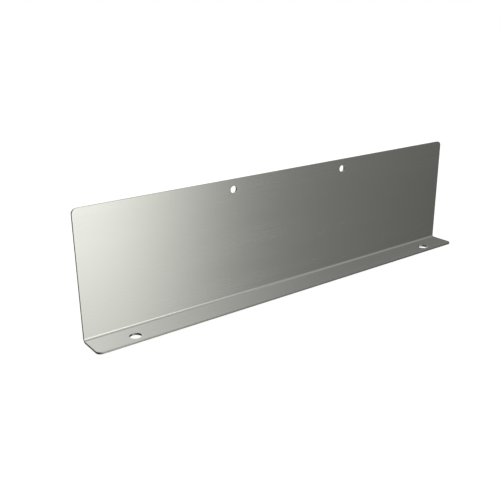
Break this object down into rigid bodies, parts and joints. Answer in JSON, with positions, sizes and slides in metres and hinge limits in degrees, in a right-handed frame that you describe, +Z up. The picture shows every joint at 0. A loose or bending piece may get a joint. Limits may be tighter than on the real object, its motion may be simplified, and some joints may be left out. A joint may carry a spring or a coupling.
{
  "type": "kick plate",
  "caption": "Folded sheet steel kick plate: a tall flat leaf that covers the foot of a panel, on a short foot that bolts to the floor.",
  "frame": {"origin": "on the floor, midway between the centres of the two floor bolt holes", "axes": "+X along the plate, -Y towards the side that is kicked, +Z up the leaf"},
  "size_m": [0.46, 0.03, 0.12],
  "materials": {
    "satin_stainless": "satin, fine ground sheet with a plain laser-cut edge"
  },
  "bodies": {
    "root": {"kick_plate": "satin_stainless"}
  },
  "joints": []
}
